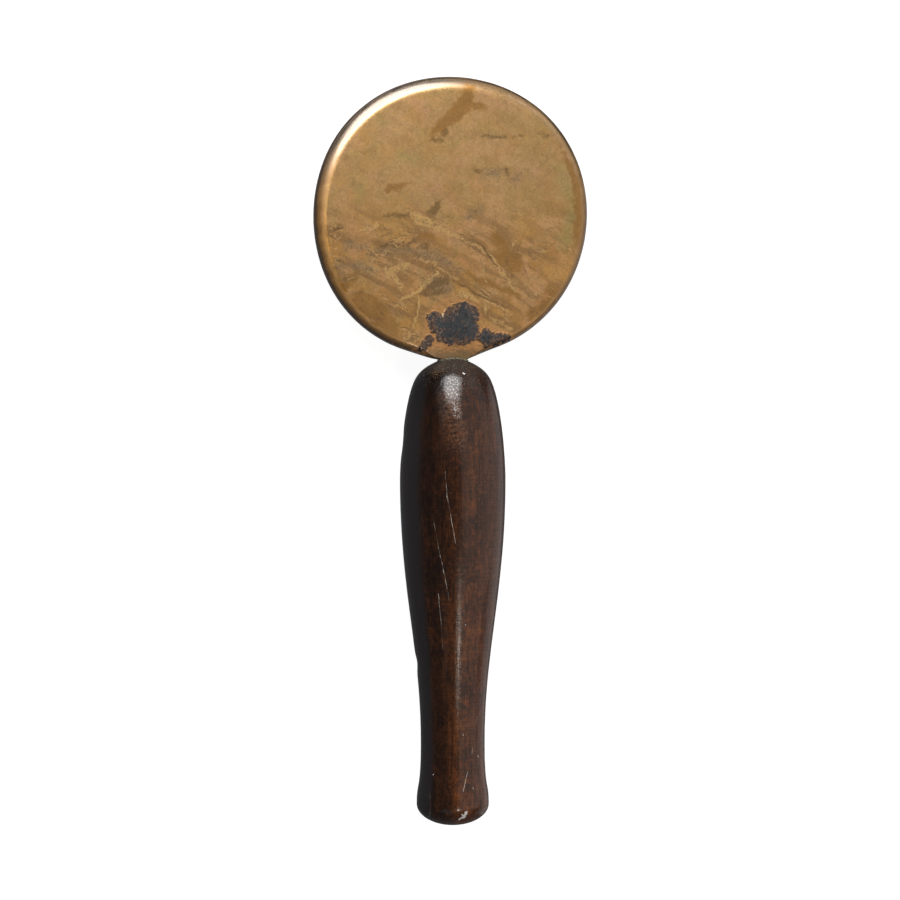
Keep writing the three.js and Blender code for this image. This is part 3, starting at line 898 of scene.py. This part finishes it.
# hair scratches from wiping
for turn, stretch in ((8, 34), (-52, 26)):
    bronze.shade(bronze.clouds(0.32, 2, 0.6, 0.72, 1, 0.8, stretch=(1, stretch, 1), turn=turn))
bronze.shade(bronze.between(grain, 0.3, 0.7, 0.9, 1.09))
print("With the films it has", len(bronze.tree.nodes), "nodes")

# %% [markdown]
# ## Old bronze: the brown skin and painted edge shade
# Towards the rim the metal hides under a brown skin, which is partly patina and partly painted shade
# for the dark surroundings that the edge reflects. The mesh's own slope says where: it is thin on the
# rolled edge and thick on the wall, but at the far edge the roll is rubbed bare and bright. The wall
# is painted darker on the left and lighter on the right, as painted shade and light, and the roll is
# darker on the far right.

# %% Old bronze: the brown skin and painted edge shade
THIN_SKIN_AND_SHADE, THICK_SKIN_AND_SHADE = (0.46, 0.245, 0.082), (0.20, 0.10, 0.028)
WALL_DARK, WALL_PALE = (0.09, 0.042, 0.014), (0.17, 0.09, 0.042)

edge_steepness = bronze.calc("ADD", slope, bronze.between(small, 0.3, 0.7, -6, 6))
below_top = bronze.between(bronze.height, 86, 52)
# the skin on the roll: partly patina, partly painted shade for the dark surroundings the roll reflects
rolled_skin_and_shade = bronze.times(bronze.between(edge_steepness, 1, 19), below_top)
rolled_tone_and_shade = bronze.mix(bronze.between(edge_steepness, 14, 46), THIN_SKIN_AND_SHADE, THICK_SKIN_AND_SHADE)
# the roll's tone is darker on the far right
rolled_tone_and_shade = bronze.tint(rolled_tone_and_shade, bronze.between(bronze.aside, 30, 50, 1, 0.75))
bronze.lay(bronze.times(rolled_skin_and_shade, 0.85), rolled_tone_and_shade)
wall = bronze.between(edge_steepness, 48, 66)
wall_tone_and_shade = bronze.mix(small, WALL_DARK, WALL_PALE)
# painted shade and light: the wall's dark tone is darker on the left side and brighter on the right
bronze.lay(wall, bronze.tint(wall_tone_and_shade, bronze.between(bronze.aside, -30, 40, 0.6, 1.5)))
print("With the skin it has", len(bronze.tree.nodes), "nodes")

# %% [markdown]
# ## Old bronze: the crust
# Where corrosion ate in, the bronze has turned to mineral. The mesh keeps how deep inside the crust
# a point lies, so its parts are bands of that depth with ragged edges: an orange fringe, a crumbly
# brown body with rust and chalk in it, and a core that is nearly black. A thin bare line crosses
# it, and dirt has gathered where the neck begins.

# %% Old bronze: the crust
FRINGE, RUST, CHALK = (0.42, 0.185, 0.05), (0.13, 0.05, 0.018), (0.40, 0.24, 0.12)
CRUST_DARK, CRUST_BROWN = (0.022, 0.012, 0.008), (0.095, 0.048, 0.025)
CORE_BLACK, CORE_GREY = (0.008, 0.009, 0.013), (0.028, 0.030, 0.032)
NECK_DIRT, BLOT, BARE_METAL = (0.22, 0.13, 0.05), (0.20, 0.105, 0.035), (0.86, 0.68, 0.46)

crust_depth = bronze.frayed(bronze.calc("ADD", bronze.field("crust"), -1.2), 1.1, 2.4)
neck_dirt = bronze.frayed(bronze.height, 1.6, 9)
bronze.lay(bronze.between(neck_dirt, 9.5, 4.5, 0, 0.8), NECK_DIRT)
blots = bronze.times(bronze.clouds(1.8, 5, 0.52, 0.6, 0, 0.7), bronze.between(bronze.height, 8, 5))
bronze.lay(blots, BLOT)
fringe = bronze.between(bronze.frayed(crust_depth, 1.5, 5), 0.9, 2.6, 0, 0.75)
bronze.lay(fringe, FRINGE)
crusted = bronze.between(crust_depth, -0.25, 0.35)
crumbs = bronze.noise(1.2, 5, warp=0.4)
core = bronze.between(bronze.frayed(crust_depth, 3.2, 9, 4), 5.4, 7.4)
core_colour = bronze.mix(crumbs, CORE_BLACK, CORE_GREY)
crust_colour = bronze.mix(bronze.between(crumbs, 0.4, 0.6), CRUST_DARK, CRUST_BROWN)
crust_colour = bronze.mix(core, crust_colour, core_colour)
rust = bronze.clouds(1.9, 5, 0.58, 0.68, 0, 0.7, warp=0.5)
crust_colour = bronze.mix(rust, crust_colour, RUST)
near_edge = bronze.between(bronze.frayed(crust_depth, 2.6, 4, 3), 5, 2.6)
chalk = bronze.times(bronze.clouds(0.8, 5, 0.55, 0.68), bronze.between(near_edge, 0, 1, 0.12, 0.6))
crust_colour = bronze.mix(chalk, crust_colour, CHALK)
bronze.lay(crusted, crust_colour)
bare = bronze.between(bronze.field("bare"), -0.25, 0.1, 0, 0.85)
bronze.lay(bare, BARE_METAL)
crusted = bronze.times(crusted, bronze.between(bare, 0, 0.85, 1, 0))
print("With the crust it has", len(bronze.tree.nodes), "nodes")

# %% [markdown]
# ## Old bronze: the shine
# Skin and crust aren't metal, and they are duller, so Metallic falls and Roughness rises where they
# lie. A clear coat over all of it gives the sharper gloss of old polish, and the crust's crumbs are
# bumps that are too fine for the mesh.

# %% Old bronze: the shine
matt = bronze.calc("MAXIMUM", crusted, bronze.times(fringe, 0.6))
skin_and_shade = bronze.calc("MAXIMUM", wall, bronze.times(rolled_skin_and_shade, 0.75))
metal = bronze.calc("SUBTRACT", bronze.between(skin_and_shade, 0, 1, 1, 0.3), matt, clamp=True)
hazy = bronze.times(bronze.between(slope, 0.5, 8, 0, 0.65), below_top)
dullness = bronze.times(bronze.calc("MAXIMUM", bronze.calc("MAXIMUM", matt, skin_and_shade), hazy), 0.3)
bronze.pour(
    Base_Color=bronze.colour,
    Metallic=metal,
    Roughness=bronze.calc("ADD", bronze.between(small, 0.3, 0.7, 0.25, 0.31), dullness),
    Specular_IOR_Level=0.25,
    Coat_Weight=1.0,
    Coat_Roughness=0.17,
)
bronze.bumps((bronze.times(crumbs, crusted), 0.4), (grain, 0.006))
plate.data.materials.append(bronze.material)
print("Old bronze has", len(bronze.tree.nodes), "nodes")

# %% [markdown]
# ## Dark wood: the grain
# The handle is a dense brown-black hardwood, polished by hands. Under the gloss its colour wanders
# between black and red brown in long patches, with fine dark pores that run with the grain and
# fainter lines across it from the turning. The left side is painted almost black as shade, with a
# painted grey reflection along its far edge, and the right side gets a painted grey-brown sheen.

# %% Dark wood: the grain
DARK_BROWN, RED_BROWN, SHEEN_GREY_BROWN = (0.046, 0.014, 0.004), (0.088, 0.027, 0.007), (0.082, 0.033, 0.020)
ORANGE_BROWN, EMBER = (0.13, 0.042, 0.010), (0.15, 0.043, 0.010)
PORE, EDGE_REFLECTION_GREY = (0.020, 0.0075, 0.0035), (0.017, 0.013, 0.0135)

wood = Recipe("dark_wood", roughness=0.22, ior=1.5)
patches = wood.noise(7, 5, stretch=(1, 2, 1), warp=0.6)
flecks = wood.noise(1.1, 5, stretch=(1, 1.6, 1), warp=0.4)
fibres = wood.noise(0.5, 3, stretch=(1, 18, 1), warp=0.2)
turned = wood.noise(0.45, 2, stretch=(18, 1, 18))
side = wood.field("side_angle")
# painted light: the right side is made lighter, with fewer dark pores and a grey-brown painted sheen
painted_sheen_side = wood.between(side, 8, 40)
wood.colour = wood.mix(wood.between(patches, 0.38, 0.6), DARK_BROWN, RED_BROWN)
wood.lay(wood.between(flecks, 0.5, 0.66, 0, 0.5), ORANGE_BROWN)
wood.lay(wood.times(wood.between(flecks, 0.47, 0.34), wood.between(painted_sheen_side, 0, 1, 0.45, 0.2)), PORE)
wood.lay(wood.clouds(4.5, 5, 0.55, 0.70, 0, 0.6, warp=0.5), EMBER)
wood.lay(wood.between(painted_sheen_side, 0, 1, 0, 0.5), SHEEN_GREY_BROWN)
wood.shade(wood.between(wood.height, -45, -100, 0.92, 1.34))
wood.shade(wood.clouds(1.3, 3, 0.3, 0.7, 0.75, 1.25, stretch=(1, 22, 1)))
wood.shade(wood.between(fibres, 0.3, 0.7, 0.7, 1.3))
wood.shade(wood.between(turned, 0.3, 0.7, 0.82, 1.18))
wood.shade(wood.clouds(0.4, 2, 0.36, 0.46, 0.6, 1.05, stretch=(1, 2.5, 1)))
# painted shade: the left side is darkened to almost black, and its far edge gets a grey painted reflection
wood.shade(wood.between(side, -36, 2, 0.24, 0.86))
wood.lay(wood.between(side, -45, -58), EDGE_REFLECTION_GREY)
print("The grain has", len(wood.tree.nodes), "nodes")

# %% [markdown]
# ## Dark wood: the crown
# The crown is rubbed dull, and dust stays in its pits. Below it an orange-brown patch is painted
# highlight, the fading tail of the gloss. Where the gloss is brightest it is partly real gloss from
# the lamp and partly painted highlight: a pale tone, broken up by noise.

# %% Dark wood: the crown
WORN, DUST = (0.014, 0.010, 0.008), (0.30, 0.22, 0.14)
HIGHLIGHT_TAIL_ORANGE, HIGHLIGHT_PALE = (0.19, 0.085, 0.04), (0.56, 0.52, 0.50)

worn = wood.between(wood.frayed(wood.height, 2.4, 7, 4), -5, 2)
wood.shade(wood.between(wood.height, -30, -3, 1, 0.45))
wood.lay(wood.times(worn, 0.8), WORN)
dusty = wood.between(wood.frayed(wood.height, 3, 9, 4), -9, 3)
wood.lay(wood.times(wood.times(dusty, wood.clouds(0.45, 2, 0.60, 0.70)), 0.8), DUST)
# painted highlight: an orange-brown patch below the crown, the fading tail of the gloss
highlight_tail = wood.between(wood.away_from((-4.4, -15), (-2.2, -30)), 0, 6, 0.6, 0)
wood.lay(wood.times(highlight_tail, wood.clouds(0.9, 5, 0.38, 0.66, warp=0.5)), HIGHLIGHT_TAIL_ORANGE)
# painted highlight: a pale tone, broken up by noise, where the crown's gloss is brightest
highlight_above = wood.between(wood.away_from((-3.1, -9), (-3.2, -13.5)), 0.8, 3.6, 0.85, 0)
highlight_below = wood.between(wood.away_from((-2.8, -12), (-2.2, -20.5)), 0.2, 2.3, 0.85, 0)
painted_crown_highlight = wood.calc("MAXIMUM", highlight_above, highlight_below)
wood.lay(wood.times(painted_crown_highlight, wood.clouds(0.55, 4, 0.50, 0.62, warp=0.6)), HIGHLIGHT_PALE)
print("With the crown it has", len(wood.tree.nodes), "nodes")

# %% [markdown]
# ## Dark wood: scratches and chips
# A few fine scratches and chips show pale wood; the largest pale patch, at the foot, is a chip and a
# painted glint. A scratch is a thin line between two places: the finish asks how far each point is
# from it, after a small random push, and turns pale where that is little. The places are seen from
# the polished side, so the far side is left out.

# %% Dark wood: scratches and chips
HAIRLINES = [
    # from, to, how much it shows
    ((-6.6, -40.8), (-6, -49.6), 0.35),
    ((-6, -49.6), (-2.9, -66.4), 0.75),
    ((-10.6, -57.2), (-8.6, -68.3), 0.3),
    ((-8.6, -68.3), (-5.7, -81.5), 0.75),
    ((-5.7, -81.5), (-4.6, -87.2), 0.4),
    ((-8.4, -84.5), (-7.1, -95.6), 0.65),
    ((-7.1, -95.6), (-6.3, -104.8), 0.25),
    ((3.1, -148.9), (1.2, -155.9), 0.8),
    ((7, -129.5), (6.8, -132.5), 0.8),
    ((5.1, -140.5), (4.9, -143), 0.9),
    ((-10.1, -156.3), (-9.9, -165.5), 0.3),
]
CHIPS = [
    # from, to, half width
    # the entries at the foot, near -165 mm, are a chip and a painted glint
    ((2.4, -163.4), (1.5, -165.4), 0.75),
    ((1.5, -164.8), (0, -166.2), 0.5),
    ((1.1, -5.6), (1.6, -5.9), 0.28),
    ((0.7, -164), (1.5, -165), 0.3),
    ((7.5, -143.4), (7.7, -144.2), 0.08),
    ((-8.8, -150), (-8.9, -150.5), 0.08),
    ((1.3, -135.5), (1.4, -135.9), 0.08),
    ((5.1, -154.8), (5.2, -155.3), 0.08),
    ((1.2, -95.7), (1.5, -95.9), 0.09),
]
SCRATCH, CHIP_AND_GLINT = (0.74, 0.66, 0.58), (0.90, 0.86, 0.82)

seen = wood.between(wood.front, 0, 1)
gaps = wood.clouds(0.9, 3, 0.40, 0.62, 0.1, 1, stretch=(1, 3, 1))
scratched = 0.0
for start, end, shows in HAIRLINES:
    near = wood.between(wood.away_from(start, end), 0.03, 0.13, shows, 0)
    scratched = wood.calc("MAXIMUM", scratched, near)
wood.lay(wood.times(wood.times(scratched, gaps), seen), SCRATCH)
chipped_and_glint = 0.0
for start, end, half in CHIPS:
    ragged = wood.frayed(wood.away_from(start, end), 0.8, 2 * half, 4)
    chipped_and_glint = wood.calc("MAXIMUM", chipped_and_glint, wood.between(ragged, 1.5 * half, 1.9 * half, 1, 0))
wood.lay(wood.times(chipped_and_glint, seen), CHIP_AND_GLINT)
print("With", len(HAIRLINES), "scratches and", len(CHIPS), "chips it has", len(wood.tree.nodes), "nodes")

# %% [markdown]
# ## Dark wood: the gloss
# The gloss is sharpest just below the crown and dull on top of it, where the rough surface breaks
# it up. Low bumps along the fibres, and across them from the turning, draw it out into threads.

# %% Dark wood: the gloss
dull = wood.calc("MULTIPLY_ADD", worn, 0.3, wood.between(patches, 0.3, 0.7, 0.23, 0.17))
dull = wood.times(dull, wood.between(wood.height, -30, -16, 1, 0.75))
dull = wood.times(dull, wood.between(wood.height, -7, -4, 1, 1.8))
wood.pour(Base_Color=wood.colour, Roughness=dull, Specular_IOR_Level=0.53)
rough_crown = wood.times(wood.between(wood.height, -34, -2), wood.noise(1.1, 4))
wood.bumps((rough_crown, 0.13), (fibres, 0.018), (turned, 0.014), (wood.noise(0.7, 3), 0.028))
handle.data.materials.append(wood.material)
print("Dark wood has", len(wood.tree.nodes), "nodes")

# %% [markdown]
# ## The resin of the seal
# The bead is old and dry: pale grey green, crumbly, with dark dirt in its pits.

# %% The resin of the seal
RESIN_DIRT, RESIN_PALE = (0.05, 0.042, 0.028), (0.24, 0.23, 0.16)

resin = Recipe("old_resin", roughness=0.8)
crumbly = resin.noise(0.5, 4)
resin_tone = resin.mix(resin.between(crumbly, 0.42, 0.58), RESIN_DIRT, RESIN_PALE)
resin.pour(Base_Color=resin_tone, Specular_IOR_Level=0.2)
resin.bumps((crumbly, 0.15))
bead.data.materials.append(resin.material)
print("Old resin has", len(resin.tree.nodes), "nodes")

# %% [markdown]
# ## The table
# A table of white acrylic, lit from inside, keeps shadows thin and the ground white. It is kept out
# of the gloss, as black cards round the piece would do, so that the edges of metal and wood stay
# deep.

# %% The table
TABLE_RADIUS = 9
TABLE_WHITE, TABLE_GLOW = (0.3, 0.3, 0.3), 0.93

bpy.ops.mesh.primitive_circle_add(
    vertices=96, radius=TABLE_RADIUS, fill_type="NGON", location=(0, 0, 0)
)
table = bpy.context.object
table.name = "table"
acrylic = Recipe("white_acrylic", roughness=0.9)
acrylic.pour(Base_Color=TABLE_WHITE, Emission_Color=(1.0, 1.0, 1.0), Emission_Strength=TABLE_GLOW)
acrylic.pour(Specular_IOR_Level=0.0)
table.data.materials.append(acrylic.material)
table.visible_glossy = False
print("The table is", table.dimensions.x, "m across")

# %% [markdown]
# ## The camera
# It stands straight above the handle, but 13 degrees to the left, so that the left wall of the
# plate shows. A long lens from 0.8 m keeps the outline nearly free of perspective.

# %% The camera
CAMERA_DISTANCE = 0.8
CAMERA_YAW = math.radians(13)
VIEW_WIDTH = 0.328

target = laid([-1.02, -33.5, 0])
look = math.cos(CAMERA_YAW) * face_out - math.sin(CAMERA_YAW) * across
camera_data = bpy.data.cameras.new("camera")
camera = bpy.data.objects.new("camera", camera_data)
bpy.context.scene.collection.objects.link(camera)
camera_axes = Matrix(np.stack([np.cross(along, look), along, look], axis=1).tolist())
camera.matrix_world = Matrix.Translation(target + CAMERA_DISTANCE * look) @ camera_axes.to_4x4()
camera_data.lens = camera_data.sensor_width * CAMERA_DISTANCE / VIEW_WIDTH
bpy.context.scene.camera = camera
print(f"The lens is {camera_data.lens:.1f} mm")

# %% [markdown]
# ## The lights
# Satin metal shows what it faces, so the lights are drawn for their reflections. A round softbox
# above and to the left gives the bright line on the plate's rolled edge and the gloss on the
# handle's crown. A large dim panel on the right fills the plate's face, and a narrow low lamp draws
# the long thin streak down the handle. The four dim sheets are for the rolled edge and the handle's
# side alone, which would be black without something to reflect.

# %% The lights
LAMP_TONE = (1, 0.86, 0.74)
ROOM_TONE, ROOM_LEVEL = (0.88, 0.94, 1, 1), 0.105


def softbox(name, right, up, distance, size, radiance, shape="RECTANGLE"):
    """A soft light that faces the handle's crown, so many degrees to the right and up from the
    direction of the polished face. Its power is its radiance times pi times its area."""
    sideways, upward = math.radians(right), math.radians(up)
    level = math.cos(upward)
    toward = [math.sin(sideways) * level, math.sin(upward), math.cos(sideways) * level]
    away = np.array(toward) @ straight_axes
    data = bpy.data.lights.new(name, "AREA")
    data.shape = shape
    data.size, data.size_y = size
    data.energy = radiance * math.pi * size[0] * size[1] * (math.pi / 4 if shape == "ELLIPSE" else 1)
    lamp = bpy.data.objects.new(name, data)
    turned = Vector(away).to_track_quat("Z", "Y").to_matrix().to_4x4()
    lamp.matrix_world = Matrix.Translation(crown + distance * away) @ turned
    lamp.visible_camera = False
    bpy.context.scene.collection.objects.link(lamp)
    return lamp


# name, degrees to the right, degrees up, metres away, size in metres, radiance
softbox("round_softbox", -15, 45, 0.6, (0.48, 0.48), 6.1, "ELLIPSE")
softbox("right_panel", 44, 8, 0.8, (1.2, 1.3), 0.46)
softbox("high_sheet", 50, 60, 0.9, (0.8, 0.7), 0.38)
softbox("left_sheet", -40, 34, 0.9, (0.5, 0.6), 0.38)
softbox("low_sheet", -34, -42, 0.9, (0.5, 0.4), 0.25)
softbox("side_sheet", 110, -14, 0.9, (1.1, 0.7), 0.4)
low_lamp = softbox("low_lamp", 6, -30.5, 0.9, (0.03, 0.17), 44)
low_lamp.data.color = LAMP_TONE
world = bpy.data.worlds.new("studio")
world.use_nodes = True
room = world.node_tree.nodes["Background"].inputs
room["Color"].default_value = ROOM_TONE
room["Strength"].default_value = ROOM_LEVEL
bpy.context.scene.world = world
bpy.context.scene.view_settings.view_transform = "Standard"
